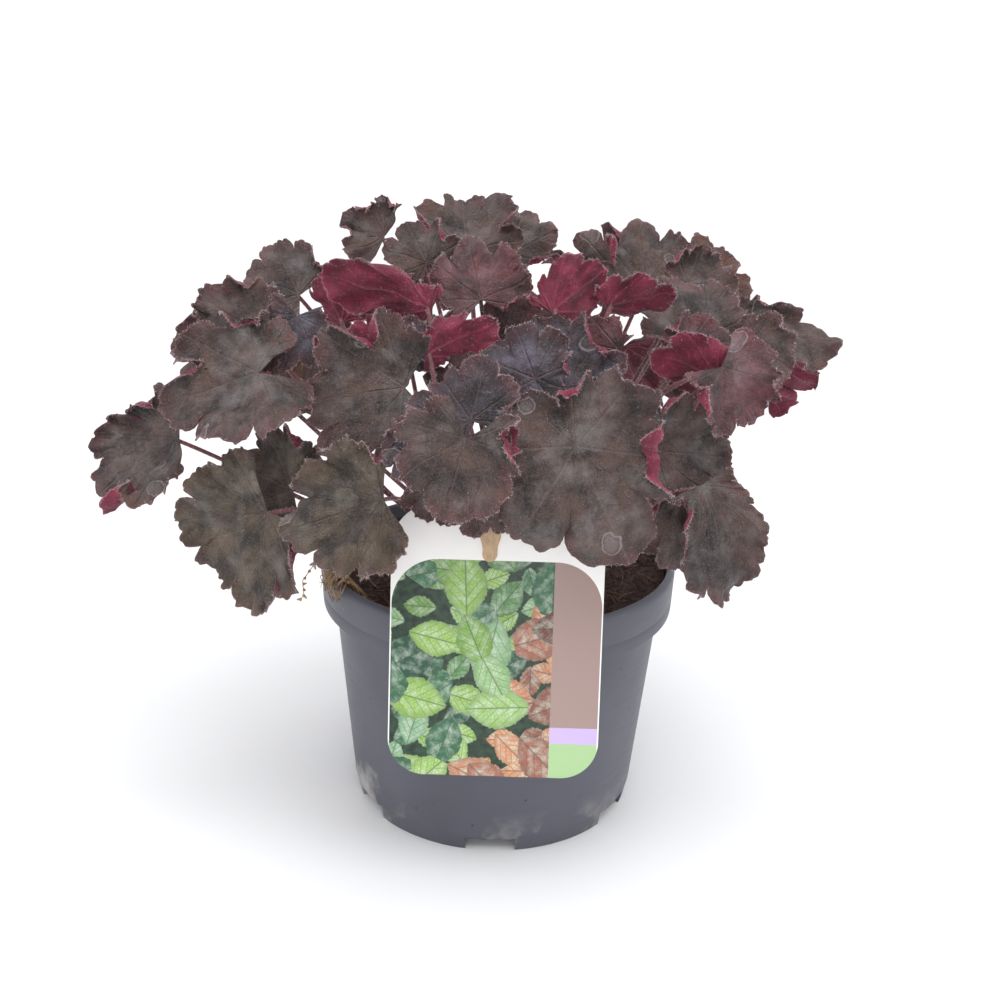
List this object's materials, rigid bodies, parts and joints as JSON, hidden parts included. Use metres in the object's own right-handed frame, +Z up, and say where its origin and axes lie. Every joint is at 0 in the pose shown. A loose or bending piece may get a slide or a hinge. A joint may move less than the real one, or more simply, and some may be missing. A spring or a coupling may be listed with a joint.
{
  "type": "potted heuchera plant",
  "caption": "Ruffled dark-leaved perennial standing in a round nursery pot of soil, with a plain hang label on a stake.",
  "frame": {"origin": "middle of the pot's foot, on the surface that it stands on", "axes": "+Z up; -Y is the front, where the label hangs; +X is to the right of someone who faces the label"},
  "size_m": [0.378, 0.2837, 0.3236],
  "materials": {
    "pot": "matte",
    "soil": "matte",
    "crown": "matte",
    "label_card": "satin",
    "label_stake": "matte",
    "leaf_dark": "satin",
    "leaf_red": "satin",
    "leaf_olive": "satin",
    "leaf_amber": "satin"
  },
  "bodies": {
    "root": {"pot": "pot", "soil": "soil", "crown": "crown", "label_card": "label_card", "label_stake": "label_stake", "leaf_01": "leaf_dark", "leaf_02": "leaf_dark", "leaf_03": "leaf_dark", "leaf_04": "leaf_dark", "leaf_05": "leaf_red", "leaf_06": "leaf_dark", "leaf_07": "leaf_amber", "leaf_08": "leaf_dark", "leaf_09": "leaf_dark", "leaf_10": "leaf_dark", "leaf_11": "leaf_dark", "leaf_12": "leaf_dark", "leaf_13": "leaf_red", "leaf_14": "leaf_red", "leaf_15": "leaf_dark", "leaf_16": "leaf_dark", "leaf_17": "leaf_dark", "leaf_18": "leaf_dark", "leaf_19": "leaf_dark", "leaf_20": "leaf_dark", "leaf_21": "leaf_dark", "leaf_22": "leaf_dark", "leaf_23": "leaf_dark", "leaf_24": "leaf_olive", "leaf_25": "leaf_olive", "leaf_26": "leaf_olive", "leaf_27": "leaf_olive", "leaf_28": "leaf_dark", "leaf_29": "leaf_dark", "leaf_30": "leaf_red", "leaf_31": "leaf_dark", "leaf_32": "leaf_dark", "leaf_33": "leaf_dark", "leaf_34": "leaf_dark", "leaf_35": "leaf_dark", "leaf_36": "leaf_dark", "leaf_37": "leaf_amber", "leaf_38": "leaf_dark", "leaf_39": "leaf_dark", "leaf_40": "leaf_dark", "leaf_41": "leaf_dark", "leaf_42": "leaf_dark", "leaf_43": "leaf_dark", "leaf_44": "leaf_dark", "leaf_45": "leaf_dark", "leaf_46": "leaf_dark", "leaf_47": "leaf_amber", "leaf_48": "leaf_red", "leaf_49": "leaf_dark", "leaf_50": "leaf_dark", "leaf_51": "leaf_dark", "leaf_52": "leaf_dark", "leaf_53": "leaf_dark", "leaf_54": "leaf_dark", "leaf_55": "leaf_dark"}
  },
  "joints": []
}
